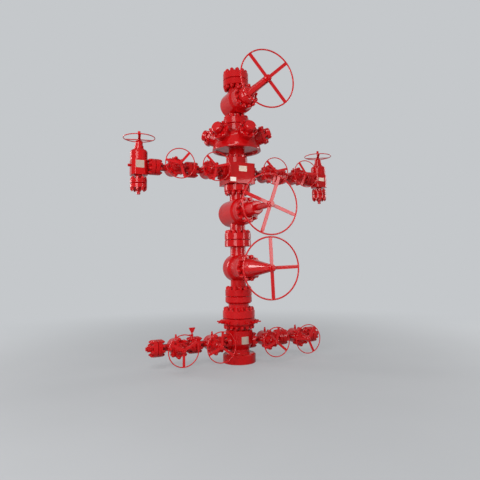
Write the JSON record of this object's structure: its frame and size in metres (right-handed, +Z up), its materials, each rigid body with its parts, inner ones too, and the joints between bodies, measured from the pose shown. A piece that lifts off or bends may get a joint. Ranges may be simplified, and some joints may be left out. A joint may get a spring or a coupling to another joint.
{
  "type": "oil wellhead valve stack",
  "caption": "Flanged wellhead valve stack with wing valves, chokes, an outlet head and turning hand wheels.",
  "frame": {"origin": "centre of the base flange's lower face", "axes": "+Z up the stack, wings along X, valve wheels facing -Y"},
  "size_m": [3.443, 1.6379, 4.423],
  "materials": {
    "red_enamel": "glossy red enamel over cast and forged steel",
    "wheel_enamel": "glossy red enamel over steel rod and flat bar"
  },
  "bodies": {
    "stack": {"tubing_head": "red_enamel", "lockdown_screws": "red_enamel", "head_adapter": "red_enamel", "lower_master_body": "red_enamel", "lower_master_bonnet": "red_enamel", "upper_master_body": "red_enamel", "upper_master_bonnet": "red_enamel", "flow_cross": "red_enamel", "outlet_head": "red_enamel", "outlet_caps": "red_enamel", "swab_body": "red_enamel", "swab_bonnet": "red_enamel", "tree_cap": "red_enamel", "wing_left_outer_body": "red_enamel", "wing_left_inner_body": "red_enamel", "wing_right_inner_body": "red_enamel", "wing_right_outer_body": "red_enamel", "wing_bonnets": "red_enamel", "annulus_left_outer_body": "red_enamel", "annulus_left_inner_body": "red_enamel", "annulus_right_inner_body": "red_enamel", "annulus_right_outer_body": "red_enamel", "annulus_bonnets": "red_enamel", "annulus_left_end": "red_enamel", "annulus_right_end": "red_enamel", "needle_valve": "red_enamel", "choke_left_body": "red_enamel", "choke_left_bonnet": "red_enamel", "choke_left_outlet": "red_enamel", "choke_right_body": "red_enamel", "choke_right_bonnet": "red_enamel", "choke_right_outlet": "red_enamel"},
    "lower_master_wheel": {"lower_master_wheel": "wheel_enamel"},
    "upper_master_wheel": {"upper_master_wheel": "wheel_enamel"},
    "swab_wheel": {"swab_wheel": "wheel_enamel"},
    "wing_left_outer_wheel": {"wing_left_outer_wheel": "wheel_enamel"},
    "wing_left_inner_wheel": {"wing_left_inner_wheel": "wheel_enamel"},
    "wing_right_inner_wheel": {"wing_right_inner_wheel": "wheel_enamel"},
    "wing_right_outer_wheel": {"wing_right_outer_wheel": "wheel_enamel"},
    "annulus_left_outer_wheel": {"annulus_left_outer_wheel": "wheel_enamel"},
    "annulus_left_inner_wheel": {"annulus_left_inner_wheel": "wheel_enamel"},
    "annulus_right_inner_wheel": {"annulus_right_inner_wheel": "wheel_enamel"},
    "annulus_right_outer_wheel": {"annulus_right_outer_wheel": "wheel_enamel"},
    "choke_left_wheel": {"choke_left_wheel": "wheel_enamel"},
    "choke_right_wheel": {"choke_right_wheel": "wheel_enamel"}
  },
  "joints": [
    {"name": "lower_master_turn", "type": "hinge", "parent": "stack", "child": "lower_master_wheel", "pos_m": [0, -1.042, 1.3605], "axis": [0, -1, 0], "continuous": true},
    {"name": "upper_master_turn", "type": "hinge", "parent": "stack", "child": "upper_master_wheel", "pos_m": [0, -1.042, 2.1915], "axis": [0, -1, 0], "continuous": true},
    {"name": "swab_turn", "type": "hinge", "parent": "stack", "child": "swab_wheel", "pos_m": [0, -1.042, 3.901], "axis": [0, -1, 0], "continuous": true},
    {"name": "wing_left_outer_turn", "type": "hinge", "parent": "stack", "child": "wing_left_outer_wheel", "pos_m": [-1.011, -0.366, 2.794], "axis": [0, -1, 0], "continuous": true},
    {"name": "wing_left_inner_turn", "type": "hinge", "parent": "stack", "child": "wing_left_inner_wheel", "pos_m": [-0.477, -0.366, 2.794], "axis": [0, -1, 0], "continuous": true},
    {"name": "wing_right_inner_turn", "type": "hinge", "parent": "stack", "child": "wing_right_inner_wheel", "pos_m": [0.477, -0.366, 2.794], "axis": [0, -1, 0], "continuous": true},
    {"name": "wing_right_outer_turn", "type": "hinge", "parent": "stack", "child": "wing_right_outer_wheel", "pos_m": [1.011, -0.366, 2.794], "axis": [0, -1, 0], "continuous": true},
    {"name": "annulus_left_outer_turn", "type": "hinge", "parent": "stack", "child": "annulus_left_outer_wheel", "pos_m": [-0.961, -0.366, 0.3], "axis": [0, -1, 0], "continuous": true},
    {"name": "annulus_left_inner_turn", "type": "hinge", "parent": "stack", "child": "annulus_left_inner_wheel", "pos_m": [-0.427, -0.366, 0.3], "axis": [0, -1, 0], "continuous": true},
    {"name": "annulus_right_inner_turn", "type": "hinge", "parent": "stack", "child": "annulus_right_inner_wheel", "pos_m": [0.427, -0.366, 0.3], "axis": [0, -1, 0], "continuous": true},
    {"name": "annulus_right_outer_turn", "type": "hinge", "parent": "stack", "child": "annulus_right_outer_wheel", "pos_m": [0.961, -0.366, 0.3], "axis": [0, -1, 0], "continuous": true},
    {"name": "choke_left_turn", "type": "hinge", "parent": "stack", "child": "choke_left_wheel", "pos_m": [-1.498, 0, 3.167], "axis": [0, 0, 1], "continuous": true},
    {"name": "choke_right_turn", "type": "hinge", "parent": "stack", "child": "choke_right_wheel", "pos_m": [1.498, 0, 3.167], "axis": [0, 0, 1], "continuous": true}
  ]
}
